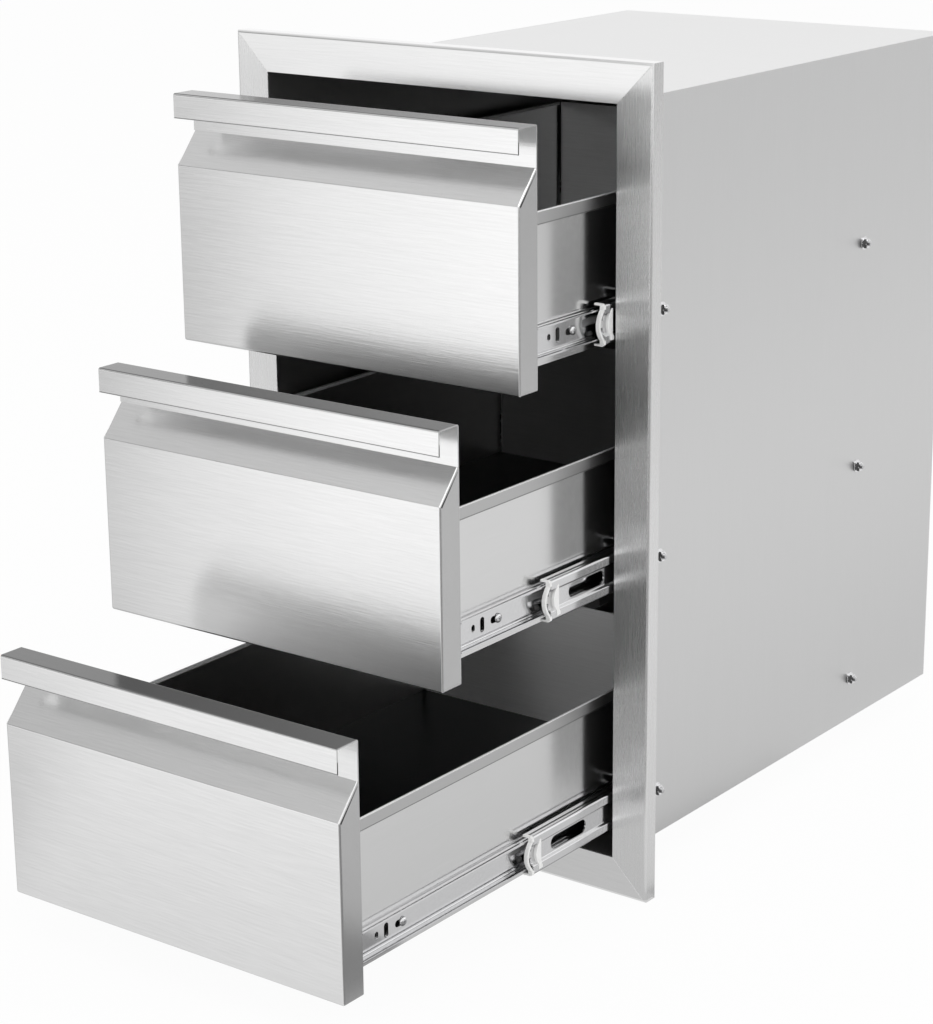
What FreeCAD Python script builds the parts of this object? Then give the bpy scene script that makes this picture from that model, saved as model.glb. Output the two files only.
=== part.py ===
import FreeCAD, Part
import math
import os
from collections import namedtuple

import Sketcher

# A built-in stainless unit of three drawers on telescopic ball runners.
# +X is to the right, +Y runs into the wall, +Z is up. The origin is the centre of the
# wall cut-out, in the plane where the trim's back edges meet the wall.

# Driving dimensions, in millimetres
SIZES = {
    # Trim frame round the opening, and the cabinet behind it
    "trim_width": 355,
    "trim_height": 585,
    "trim_border": 28,
    "trim_depth": 12,
    "trim_sheet": 1,
    "trim_bend": 2,
    "unit_depth": 463,
    "cabinet_sheet": 1,
    # Folded drawer fronts with their handle channel
    "front_gap": 3,
    "front_side_gap": 4.5,
    "front_sheet": 1,
    "front_bend": 1.6,
    "bevel_height": 21.8,
    "bevel_set_back": 18.5,
    "web_height": 27.5,
    "lip_height": 17,
    "lip_proud": 1,
    "back_flange": 22,
    # Drawer boxes
    "box_lift": 13.5,
    "box_height": 101.5,
    "box_length": 425,
    "box_sheet": 1,
    "hem_height": 9,
    # Runners: outer, middle and inner rails, counted inwards from the cabinet wall
    "runner_lift": 30.5,
    "runner_length": 400,
    "runner_set_back": 3,
    "slide_thickness": 12.7,
    "rail_sheet": 1,
    "rail_bend": 1.8,
    "outer_height": 36,
    "flange_depth": 10,
    "rail_gap": 1.2,
    "web_recess": 2,
    "recess_height": 16,
    "inner_gap": 1,
    "rear_stop": 6,
    "stop_room": 1,
    # Balls and the strips that space them
    "ball_diameter": 2.4,
    "ball_clearance": 0.2,
    "cage_thickness": 0.8,
    "cage_width": 4.4,
    "outer_cage_length": 200,
    "inner_cage_length": 180,
    # Openings in the middle and inner rails
    "slot_length": 42,
    "slot_width": 10,
    "slot_start": 30,
    "slot_pitch": 140,
    "key_hole_start": 19.5,
    "key_hole_diameter": 3.2,
    "key_slot_start": 29.3,
    "key_slot_height": 9,
    # Plastic clip on the front end of each middle rail
    "clip_nose": 7,
    "clip_length": 24,
    "clip_wall": 2.2,
    "clip_rib_start": 16,
    "clip_room": 0.2,
    # Bolts that hold the outer rails to the cabinet sides
    "bolt_start": 32,
    "bolt_spacing": 281,
    "bolt_diameter": 4,
    "bolt_tail": 2,
    "bolt_clearance": 0.15,
    "head_diameter": 7.6,
    "head_height": 2.2,
    "washer_diameter": 10,
    "washer_thickness": 0.8,
    "nut_flats": 7,
    "nut_height": 3.2,
    # Screws of the inner rails and of the drawer fronts
    "screw_start": 46,
    "screw_spacing": 288,
    "screw_diameter": 4,
    "screw_tail": 1.2,
    "screw_inset": 20,
    # How far each stage is drawn out as stored
    "bottom_runner_out": 121.5,
    "bottom_drawer_out": 169.5,
    "middle_runner_out": 100.5,
    "middle_drawer_out": 86,
    "top_runner_out": 38.5,
    "top_drawer_out": 63.5,
}
DRAWER_NAMES = ("bottom", "middle", "top")
SLOTS_PER_RAIL = 3
BALLS_PER_ROW = 6
BOLTS_PER_RAIL = 2
SIDES_PER_NUT = 6
NEAR = 1e-4

doc = FreeCAD.newDocument("drawer_unit")
sheet = doc.addObject("Spreadsheet::Sheet", "dims")
for row, (alias, value) in enumerate(SIZES.items(), start=1):
    sheet.set(f"A{row}", alias)
    sheet.set(f"B{row}", str(value))
    sheet.setAlias(f"B{row}", alias)
doc.recompute()

# Formulas shared by several pieces: the opening and the planes along Y
WALL = "(dims.trim_width / 2 - dims.trim_border)"
SILL = "(dims.trim_height / 2 - dims.trim_border)"
FACE = "(-dims.trim_depth)"
CABINET_FRONT = f"({FACE} + dims.trim_sheet)"
CABINET_BACK = f"({FACE} + dims.unit_depth)"

# Drawer fronts, all in the front's own frame with its lower edge at zero
FRONT_HALF = f"({WALL} - dims.front_side_gap)"
FRONT_HEIGHT = f"((2 * {SILL} - {len(DRAWER_NAMES) + 1} * dims.front_gap) / {len(DRAWER_NAMES)})"
WEB_FOOT = f"({FRONT_HEIGHT} - dims.web_height)"
FACE_HEIGHT = f"({WEB_FOOT} - dims.bevel_height)"
FRONT_DEPTH = "(dims.bevel_set_back + dims.front_sheet)"
BEVEL_LENGTH = "sqrt(dims.bevel_set_back ^ 2 + dims.bevel_height ^ 2)"

# Drawer boxes and runners with the drawers closed
BOX_FRONT = f"({FACE} + {FRONT_DEPTH})"
BOX_BACK = f"({BOX_FRONT} + dims.box_length)"
BOX_HALF = f"({WALL} - dims.slide_thickness)"
RAIL_FRONT = f"({BOX_FRONT} + dims.runner_set_back)"
RAIL_BACK = f"({RAIL_FRONT} + dims.runner_length)"
MOVING_BACK = f"({RAIL_BACK} - dims.rail_sheet - dims.stop_room)"

# Rail sections: half heights about the runner's axis, and depths from the cabinet wall
BALL_ROOM = "(dims.ball_diameter + 2 * dims.ball_clearance)"
OUTER_HALF = "(dims.outer_height / 2)"
OUTER_RACE = f"({OUTER_HALF} - dims.rail_sheet)"
MIDDLE_HALF = f"({OUTER_RACE} - {BALL_ROOM})"
MIDDLE_RACE = f"({MIDDLE_HALF} - dims.rail_sheet)"
INNER_HALF = f"({MIDDLE_RACE} - {BALL_ROOM})"
RECESS_HALF = "(dims.recess_height / 2)"
MIDDLE_FACE = "(dims.rail_sheet + dims.rail_gap)"
MIDDLE_WEB = f"({MIDDLE_FACE} + dims.web_recess)"
MIDDLE_BACK = f"({MIDDLE_WEB} + dims.rail_sheet)"
INNER_EDGE = f"({MIDDLE_BACK} + dims.inner_gap)"
INNER_WEB = "(dims.slide_thickness - dims.rail_sheet)"
BOLT_HOLE = "(dims.bolt_diameter / 2 + dims.bolt_clearance)"
SCREW_HOLE = "(dims.screw_diameter / 2 + dims.bolt_clearance)"

Drawer = namedtuple("Drawer", "name foot axis runner_out drawer_out")
nodes = {}


def describe_drawer(level, name):
    """Formulas for a drawer's lower edge, its runner axis and how far its stages are out."""
    foot = f"(-{SILL} + dims.front_gap + {level} * ({FRONT_HEIGHT} + dims.front_gap))"
    axis = f"({foot} + dims.runner_lift)"
    runner_out = f"dims.{name}_runner_out"
    return Drawer(name, foot, axis, runner_out, f"({runner_out} + dims.{name}_drawer_out)")


def bind(item, formulas):
    """Tie properties of a document object to formulas of the sheet."""
    for path, formula in formulas.items():
        item.setExpression(path, formula)


def place(item, x, y, z):
    """Tie an object's position to three formulas."""
    bind(item, {"Placement.Base.x": x, "Placement.Base.y": y, "Placement.Base.z": z})


def keep(label, item):
    """Give a finished sub-part its name."""
    item.Label = label
    nodes[label] = item
    return item


def block(name, x, y, z):
    """Box between two formulas along each axis."""
    item = doc.addObject("Part::Box", name)
    spans = {"Length": x, "Width": y, "Height": z}
    bind(item, {size: f"{high} - ({low})" for size, (low, high) in spans.items()})
    place(item, x[0], y[0], z[0])
    return item


def rod(name, axis, radius, length, at):
    """Cylinder of a radius and length along X, Y or Z, from a starting point."""
    item = doc.addObject("Part::Cylinder", name)
    item.Placement.Rotation = FreeCAD.Rotation(FreeCAD.Vector(0, 0, 1), FreeCAD.Vector(axis))
    bind(item, {"Radius": radius, "Height": length})
    place(item, *at)
    return item


def joined(name, items):
    """One solid from pieces that touch or overlap."""
    item = doc.addObject("Part::MultiFuse", name)
    item.Shapes = items
    item.Refine = True
    return item


def group(name, items):
    """Separate solids kept together."""
    item = doc.addObject("Part::Compound", name)
    item.Links = items
    return item


def cut(name, base, tools):
    """A piece with one or more tools taken out of it."""
    item = doc.addObject("Part::Cut", name)
    item.Base = base
    item.Tool = tools[0] if len(tools) == 1 else group(f"{name}_tools", tools)
    return item


def overlap(name, base, tool):
    """What two pieces share."""
    item = doc.addObject("Part::Common", name)
    item.Base = base
    item.Tool = tool
    return item


def with_mirror(name, item, normal, height="0"):
    """A piece and its mirror image across the middle plane, or across a level plane."""
    image = doc.addObject("Part::Mirroring", f"{name}_image")
    image.Source = item
    image.Normal = normal
    image.setExpression("Base.z", height)
    return group(name, [item, image])


def both_sides(name, item):
    """A right-hand piece together with the left-hand one."""
    return with_mirror(name, item, FreeCAD.Vector(1, 0, 0))


def rail_block(name, depth, y, z):
    """Box on the right-hand runner, its depth counted inwards from the cabinet wall."""
    return block(name, (f"{WALL} - {depth[1]}", f"{WALL} - {depth[0]}"), y, z)


def rail_rod(name, radius, depth, y, z):
    """Cylinder across the right-hand runner between two depths from the cabinet wall."""
    length = f"{depth[1]} - ({depth[0]})"
    return rod(name, (1, 0, 0), radius, length, (f"{WALL} - {depth[1]}", y, z))


def about(axis, low, high):
    """Span of heights above a runner's axis."""
    return (f"{axis} + ({low})", f"{axis} + ({high})")


def outline(body, name, plane, corners):
    """Closed outline on one of the body's planes, its corners tied to pairs of formulas."""
    sketch = body.newObject("Sketcher::SketchObject", name)
    support = [item for item in body.Origin.OriginFeatures if item.Role == plane]
    sketch.AttachmentSupport = [(support[0], "")]
    sketch.MapMode = "FlatFace"
    count = len(corners)
    start_radius = 100
    turn = -2 * math.pi / count
    ring = [
        FreeCAD.Vector(start_radius * math.cos(turn * i), start_radius * math.sin(turn * i), 0)
        for i in range(count)
    ]
    for i in range(count):
        sketch.addGeometry(Part.LineSegment(ring[i], ring[(i + 1) % count]))
    for i in range(count):
        sketch.addConstraint(Sketcher.Constraint("Coincident", i, 2, (i + 1) % count, 1))
    for i, corner in enumerate(corners):
        starts = (("DistanceX", ring[i].x), ("DistanceY", ring[i].y))
        for (kind, start), formula in zip(starts, corner):
            number = sketch.addConstraint(Sketcher.Constraint(kind, -1, 1, i, 1, start))
            sketch.setExpression(f"Constraints[{number}]", formula)
    return sketch


def extrude(body, kind, sketch, length, symmetric):
    """Pad or pocket of a sketch, either way from its plane or along +Y."""
    feature = body.newObject(f"PartDesign::{kind}", f"{sketch.Name}_{kind.lower()}")
    feature.Profile = sketch
    feature.SideType = "Symmetric" if symmetric else "One side"
    feature.Reversed = not symmetric
    bind(feature, {"Length": length})
    return feature


def round_edges(body, radius, chosen):
    """Round the edges of a body's last feature that a test picks from its solid."""
    doc.recompute()
    feature = body.Tip
    solid = feature.Shape
    names = [f"Edge{i}" for i, edge in enumerate(solid.Edges, 1) if chosen(edge, solid.BoundBox)]
    bend = body.newObject("PartDesign::Fillet", f"{feature.Name}_bend")
    bend.Base = (feature, names)
    bind(bend, {"Radius": radius})


def every(edge, axis, value):
    """Whether all the ends of an edge lie at one value along an axis."""
    return all(abs(getattr(vertex, axis) - value) < NEAR for vertex in edge.Vertexes)


def outer_front_edge(edge, box):
    """The long front edge of a trim rail, where its border turns back to the wall."""
    return every(edge, "Y", box.YMin) and edge.Length > max(box.XLength, box.ZLength) - NEAR


def face_edge(edge, box):
    """Edges that run round a drawer front's flat face or leave its corners."""
    return min(vertex.Y for vertex in edge.Vertexes) < box.YMin + NEAR


def flange_edge(edge, box):
    """Long top edges of a drawer front's flange."""
    return every(edge, "Z", box.ZMax) and edge.Length > box.XLength - NEAR


def wall_edge(edge, box):
    """Long edges of a rail towards the cabinet wall."""
    at_corner = every(edge, "Z", box.ZMin) or every(edge, "Z", box.ZMax)
    return at_corner and every(edge, "X", box.XMax) and edge.Length > box.YLength - NEAR


def drawer_edge(edge, box):
    """Long edges of a rail towards the drawer."""
    at_corner = every(edge, "Z", box.ZMin) or every(edge, "Z", box.ZMax)
    return at_corner and every(edge, "X", box.XMin) and edge.Length > box.YLength - NEAR


def rail(name, half_section, y, axis, chosen):
    """Right-hand rail rolled to a section, given as depths from the wall and heights to its middle."""
    body = doc.addObject("PartDesign::Body", name)
    upper = [(f"-{depth}", height) for depth, height in half_section]
    lower = [(f"-{depth}", f"-{height}") for depth, height in reversed(half_section)]
    sketch = outline(body, f"{name}_section", "XZ_Plane", upper + lower)
    extrude(body, "Pad", sketch, f"{y[1]} - ({y[0]})", symmetric=False)
    round_edges(body, "dims.rail_bend", chosen)
    place(body, WALL, y[0], axis)
    return body


def trim_frame():
    """Four mitred rails of angle section: a flat border and a return to the wall."""
    half_x = "dims.trim_width / 2"
    half_z = "dims.trim_height / 2"
    corners = {
        "trim_top": ((-1, 1), (1, 1)),
        "trim_bottom": ((1, -1), (-1, -1)),
        "trim_left": ((-1, -1), (-1, 1)),
        "trim_right": ((1, 1), (1, -1)),
    }
    legs = {
        "border": ("dims.trim_border", "dims.trim_sheet"),
        "return": ("dims.trim_sheet", "dims.trim_depth"),
    }
    for label, (first, last) in corners.items():
        body = doc.addObject("PartDesign::Body", label)
        for leg, (inset, depth) in legs.items():
            outer = [(f"{x} * {half_x}", f"{z} * {half_z}") for x, z in (first, last)]
            inner = [
                (f"{x} * ({half_x} - {inset})", f"{z} * ({half_z} - {inset})")
                for x, z in (last, first)
            ]
            sketch = outline(body, f"{label}_{leg}", "XZ_Plane", outer + inner)
            extrude(body, "Pad", sketch, depth, symmetric=False)
        round_edges(body, "dims.trim_bend", outer_front_edge)
        place(body, "0", FACE, "0")
        keep(label, body)


def cabinet(drawers):
    """Flat panels of the cabinet, with bolt holes in the two sides."""
    skin = "dims.cabinet_sheet"
    along = (CABINET_FRONT, f"{CABINET_BACK} - {skin}")
    across = (f"-{WALL}", WALL)
    top = block("cabinet_top", across, along, (SILL, f"{SILL} + {skin}"))
    bottom = block("cabinet_bottom", across, along, (f"-{SILL} - {skin}", f"-{SILL}"))
    full_x = (f"-{WALL} - {skin}", f"{WALL} + {skin}")
    full_z = (f"-{SILL} - {skin}", f"{SILL} + {skin}")
    back = block("cabinet_back", full_x, (f"{CABINET_BACK} - {skin}", CABINET_BACK), full_z)
    keep("cabinet_top", top)
    keep("cabinet_bottom", bottom)
    keep("cabinet_back", back)
    for label, sign in (("cabinet_left_side", -1), ("cabinet_right_side", 1)):
        low, high = sorted((0, sign))
        x = (f"{sign} * {WALL} + {low} * {skin}", f"{sign} * {WALL} + {high} * {skin}")
        plate = block(f"{label}_plate", x, along, full_z)
        holes = [
            rod(f"{label}_hole", (1, 0, 0), BOLT_HOLE, skin, (x[0], y, drawer.axis))
            for drawer in drawers
            for y in bolt_places()
        ]
        keep(label, cut(label, plate, holes))


def bolt_places():
    """Where the bolts of a rail lie along Y."""
    return [f"{RAIL_FRONT} + dims.bolt_start + {i} * dims.bolt_spacing" for i in range(BOLTS_PER_RAIL)]


def runner_bolts(drawers):
    """Bolts through the outer rails, with washers and nuts outside the cabinet."""
    washer_face = "-dims.cabinet_sheet"
    nut_face = f"({washer_face} - dims.washer_thickness)"
    bolt_end = f"({nut_face} - dims.nut_height - dims.bolt_tail)"
    head_end = "(dims.rail_sheet + dims.head_height)"
    bolts, washers, nuts = [], [], []
    for drawer in drawers:
        for y in bolt_places():
            spot = (y, drawer.axis)
            shank = rail_rod("bolt_shank", "dims.bolt_diameter / 2", (bolt_end, head_end), *spot)
            head = rail_rod("bolt_head", "dims.head_diameter / 2", ("dims.rail_sheet", head_end), *spot)
            bolts.append(joined("bolt", [shank, head]))
            washer_span = (nut_face, washer_face)
            disc = rail_rod("washer_disc", "dims.washer_diameter / 2", washer_span, *spot)
            washers.append(cut("washer", disc, [rail_rod("washer_hole", BOLT_HOLE, washer_span, *spot)]))
            nut = doc.addObject("Part::Prism", "nut_hexagon")
            nut.Polygon = SIDES_PER_NUT
            nut.Placement.Rotation = FreeCAD.Rotation(FreeCAD.Vector(0, 0, 1), FreeCAD.Vector(1, 0, 0))
            bind(nut, {"Circumradius": "dims.nut_flats / sqrt(3)", "Height": "dims.nut_height"})
            place(nut, f"{WALL} - {nut_face}", *spot)
            nut_span = (f"{nut_face} - dims.nut_height", nut_face)
            nuts.append(cut("nut", nut, [rail_rod("nut_bore", BOLT_HOLE, nut_span, *spot)]))
    for label, items in (("runner_bolts", bolts), ("runner_washers", washers), ("runner_nuts", nuts)):
        keep(label, both_sides(label, group(f"{label}_right", items)))


def cabinet_rails(drawers):
    """Channels bolted to the cabinet sides, each with a turned-in stop at the back."""
    y = (RAIL_FRONT, RAIL_BACK)
    rails = []
    for drawer in drawers:
        name = f"{drawer.name}_outer_rail"
        section = [
            ("dims.rail_sheet", OUTER_RACE),
            ("dims.flange_depth", OUTER_RACE),
            ("dims.flange_depth", OUTER_HALF),
            ("0", OUTER_HALF),
        ]
        channel = rail(f"{name}_channel", section, y, drawer.axis, wall_edge)
        stop_half = "dims.rear_stop / 2"
        stop_y = (f"{RAIL_BACK} - dims.rail_sheet", RAIL_BACK)
        stop_z = about(drawer.axis, f"-{stop_half}", stop_half)
        stop = rail_block(f"{name}_stop", ("0", MIDDLE_BACK), stop_y, stop_z)
        holes = [
            rail_rod(f"{name}_hole", BOLT_HOLE, ("0", "dims.rail_sheet"), place_y, drawer.axis)
            for place_y in bolt_places()
        ]
        rails.append(cut(name, joined(f"{name}_blank", [channel, stop]), holes))
    keep("cabinet_rails", both_sides("cabinet_rails", group("cabinet_rails_right", rails)))


def intermediate_rails(drawer):
    """Two-way channels that ride in the outer rails: raised bands and a slotted, recessed web."""
    label = f"{drawer.name}_intermediate_rails"
    start = f"{RAIL_FRONT} - {drawer.runner_out}"
    y = (f"{start} + dims.clip_nose", f"{MOVING_BACK} - {drawer.runner_out}")
    recess_edge = f"({RECESS_HALF} + dims.rail_sheet)"
    band_back = f"({MIDDLE_FACE} + dims.rail_sheet)"
    section = [
        (MIDDLE_BACK, recess_edge),
        (band_back, recess_edge),
        (band_back, MIDDLE_RACE),
        ("dims.flange_depth", MIDDLE_RACE),
        ("dims.flange_depth", MIDDLE_HALF),
        (MIDDLE_FACE, MIDDLE_HALF),
        (MIDDLE_FACE, RECESS_HALF),
        (MIDDLE_WEB, RECESS_HALF),
    ]
    channel = rail(f"{label}_channel", section, y, drawer.axis, wall_edge)
    slot_half = "dims.slot_width / 2"
    depth = (MIDDLE_WEB, MIDDLE_BACK)
    tools = []
    for i in range(SLOTS_PER_RAIL):
        first = f"{start} + dims.slot_start + {i} * dims.slot_pitch + {slot_half}"
        last = f"{first} + dims.slot_length - dims.slot_width"
        flat_z = about(drawer.axis, f"-{slot_half}", slot_half)
        flat = rail_block(f"{label}_slot", depth, (first, last), flat_z)
        ends = [rail_rod(f"{label}_slot_end", slot_half, depth, end, drawer.axis) for end in (first, last)]
        tools.append(joined(f"{label}_slot_tool", [flat] + ends))
    keep(label, both_sides(label, cut(f"{label}_right", channel, tools)))


def runner_clips(drawer):
    """Plastic clips on the front ends of the middle rails: a bowed nose, a tongue and a rib."""
    label = f"{drawer.name}_runner_clips"
    start = f"{RAIL_FRONT} - {drawer.runner_out}"
    tongue_half = f"({RECESS_HALF} - dims.clip_room)"
    tongue_z = about(drawer.axis, f"-{tongue_half}", tongue_half)
    tongue_depth = (f"({MIDDLE_WEB} - dims.web_recess / 2)", MIDDLE_WEB)
    tongue_y = (f"{start} + dims.clip_wall / 2", f"{start} + dims.clip_length")
    tongue = rail_block(f"{label}_tongue", tongue_depth, tongue_y, tongue_z)
    rib = f"{start} + dims.clip_rib_start"
    bows = {
        "nose": (MIDDLE_HALF, start, "dims.clip_nose", (MIDDLE_FACE, MIDDLE_BACK), MIDDLE_HALF),
        "rib": (RECESS_HALF, rib, "dims.clip_wall * 2", (MIDDLE_FACE, MIDDLE_WEB), tongue_half),
    }
    pieces = [tongue]
    for bow, (radius, front, reach, depth, half) in bows.items():
        name = f"{label}_{bow}"
        centre = f"{front} + {radius}"
        disc = rail_rod(f"{name}_disc", radius, depth, centre, drawer.axis)
        hollow = rail_rod(f"{name}_hollow", f"{radius} - dims.clip_wall", depth, centre, drawer.axis)
        window_z = about(drawer.axis, f"-{half}", half)
        window = rail_block(f"{name}_window", depth, (front, f"{front} + {reach}"), window_z)
        pieces.append(overlap(name, cut(f"{name}_ring", disc, [hollow]), window))
    keep(label, both_sides(label, joined(f"{label}_right", pieces)))


def screw_places(start):
    """Where the screws of an inner rail lie along Y."""
    return [f"{start} + dims.screw_start + {i} * dims.screw_spacing" for i in range(BOLTS_PER_RAIL)]


def drawer_rails(drawer):
    """Channels screwed to the drawer sides, open towards the cabinet wall, and their screws."""
    label = f"{drawer.name}_drawer_rails"
    start = f"{RAIL_FRONT} - {drawer.drawer_out}"
    y = (start, f"{MOVING_BACK} - {drawer.drawer_out}")
    web = (INNER_WEB, "dims.slide_thickness")
    race = f"({INNER_HALF} - dims.rail_sheet)"
    section = [
        ("dims.slide_thickness", INNER_HALF),
        (INNER_EDGE, INNER_HALF),
        (INNER_EDGE, race),
        (INNER_WEB, race),
    ]
    channel = rail(f"{label}_channel", section, y, drawer.axis, drawer_edge)
    hole_half = "dims.key_hole_diameter / 2"
    slot_middle = f"{start} + dims.key_slot_start"
    slot_y = (f"{slot_middle} - {hole_half}", f"{slot_middle} + {hole_half}")
    slot_z = about(drawer.axis, "-dims.key_slot_height / 2", "dims.key_slot_height / 2")
    tools = [rail_rod(f"{label}_hole", hole_half, web, f"{start} + dims.key_hole_start", drawer.axis)]
    tools.append(rail_block(f"{label}_slot", web, slot_y, slot_z))
    for spot in screw_places(start):
        tools.append(rail_rod(f"{label}_screw_hole", SCREW_HOLE, web, spot, drawer.axis))
    keep(label, both_sides(label, cut(f"{label}_right", channel, tools)))
    screws_label = f"{drawer.name}_runner_screws"
    head = (f"({INNER_WEB} - dims.head_height)", INNER_WEB)
    shank = (head[0], "(dims.slide_thickness + dims.box_sheet + dims.screw_tail)")
    screws = []
    for spot in screw_places(start):
        cap = rail_rod("rail_screw_head", "dims.head_diameter / 2", head, spot, drawer.axis)
        stem = rail_rod("rail_screw_shank", "dims.screw_diameter / 2", shank, spot, drawer.axis)
        screws.append(joined("rail_screw", [cap, stem]))
    keep(screws_label, both_sides(screws_label, group(f"{screws_label}_right", screws)))


def ball_rows(drawer, stage, race, depth, length, middle):
    """Two rows of balls in one stage of both runners, with a spacer strip for each row."""
    height = f"{drawer.axis} + {race} - {BALL_ROOM} / 2"
    strip_half = "dims.cage_thickness / 2"
    strip_y = (f"{middle} - {length} / 2", f"{middle} + {length} / 2")
    strip_depth = (f"({depth} - dims.cage_width / 2)", f"({depth} + dims.cage_width / 2)")
    strip_z = (f"{height} - {strip_half}", f"{height} + {strip_half}")
    strip = rail_block(f"{stage}_strip", strip_depth, strip_y, strip_z)
    holes, balls = [], []
    for i in range(BALLS_PER_ROW):
        y = f"{middle} + ({i + 0.5} / {BALLS_PER_ROW} - 0.5) * {length}"
        centre = (f"{WALL} - {depth}", y)
        radius = "(dims.ball_diameter / 2 + dims.ball_clearance)"
        holes.append(rod(f"{stage}_hole", (0, 0, 1), radius, "dims.cage_thickness", (*centre, strip_z[0])))
        ball = doc.addObject("Part::Sphere", f"{stage}_ball")
        bind(ball, {"Radius": "dims.ball_diameter / 2"})
        place(ball, *centre, height)
        balls.append(ball)
    rows = {"cages": cut(f"{stage}_cage", strip, holes), "balls": group(f"{stage}_row", balls)}
    for kind, row in rows.items():
        label = f"{drawer.name}_{stage}_{kind}"
        pair = with_mirror(f"{label}_pair", row, FreeCAD.Vector(0, 0, 1), drawer.axis)
        keep(label, both_sides(label, pair))


def bearings(drawer):
    """Balls and strips of both stages, which run at half the speed of the stage they carry."""
    closed = f"({RAIL_FRONT} + dims.runner_length / 2)"
    outer_depth = f"(({MIDDLE_FACE} + dims.flange_depth) / 2)"
    inner_depth = f"(({INNER_EDGE} + dims.flange_depth) / 2)"
    outer_middle = f"({closed} - {drawer.runner_out} / 2)"
    inner_middle = f"({closed} - ({drawer.runner_out} + {drawer.drawer_out}) / 2)"
    ball_rows(drawer, "outer", OUTER_RACE, outer_depth, "dims.outer_cage_length", outer_middle)
    ball_rows(drawer, "inner", MIDDLE_RACE, inner_depth, "dims.inner_cage_length", inner_middle)


def front_screw_places(drawer):
    """Where the screws of a drawer front lie across X and Z."""
    side = f"(({BOX_HALF} - dims.box_sheet + {FRONT_HALF} - dims.back_flange) / 2)"
    low = f"{drawer.foot} + dims.box_lift + dims.screw_inset"
    high = f"{drawer.foot} + dims.box_lift + dims.box_height - dims.screw_inset"
    return [(f"{sign} * {side}", z) for sign in (-1, 1) for z in (low, high)]


def drawer_front(drawer):
    """Folded front: a flat face, a bevel back to a web, and a flange and lip to pull by."""
    label = f"{drawer.name}_drawer_front"
    skin = "dims.front_sheet"
    web = "dims.bevel_set_back"
    lip = "-dims.lip_proud"
    lip_foot = f"{FRONT_HEIGHT} - dims.lip_height"
    body = doc.addObject("PartDesign::Body", f"{label}_shell")
    tray = [
        ("0", "0"),
        ("0", FACE_HEIGHT),
        (web, WEB_FOOT),
        (FRONT_DEPTH, WEB_FOOT),
        (FRONT_DEPTH, "0"),
    ]
    hollow = [
        (skin, skin),
        (skin, f"{FACE_HEIGHT} - {skin} * ({BEVEL_LENGTH} - dims.bevel_height) / {web}"),
        (web, f"{WEB_FOOT} - {skin} * {BEVEL_LENGTH} / {web}"),
        (web, skin),
    ]
    window = [
        (f"{web} / 2", "dims.back_flange"),
        (f"{web} / 2", FACE_HEIGHT),
        (FRONT_DEPTH, FACE_HEIGHT),
        (FRONT_DEPTH, "dims.back_flange"),
    ]
    handle = [
        (web, WEB_FOOT),
        (web, f"{FRONT_HEIGHT} - {skin}"),
        (f"{lip} + {skin}", f"{FRONT_HEIGHT} - {skin}"),
        (f"{lip} + {skin}", lip_foot),
        (lip, lip_foot),
        (lip, FRONT_HEIGHT),
        (FRONT_DEPTH, FRONT_HEIGHT),
        (FRONT_DEPTH, WEB_FOOT),
    ]
    width = f"2 * {FRONT_HALF}"
    steps = (
        ("tray", tray, "Pad", width, face_edge),
        ("hollow", hollow, "Pocket", f"{width} - 2 * {skin}", None),
        ("window", window, "Pocket", f"{width} - 2 * dims.back_flange", None),
        ("handle", handle, "Pad", width, flange_edge),
    )
    for step, corners, kind, length, bent_edges in steps:
        sketch = outline(body, f"{label}_{step}", "YZ_Plane", corners)
        extrude(body, kind, sketch, length, symmetric=True)
        if bent_edges:
            round_edges(body, "dims.front_bend", bent_edges)
    front = f"{FACE} - {drawer.drawer_out}"
    place(body, "0", front, drawer.foot)
    flange = f"{front} + dims.bevel_set_back"
    holes = [
        rod(f"{label}_hole", (0, 1, 0), SCREW_HOLE, skin, (x, flange, z))
        for x, z in front_screw_places(drawer)
    ]
    keep(label, cut(label, body, holes))


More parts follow.
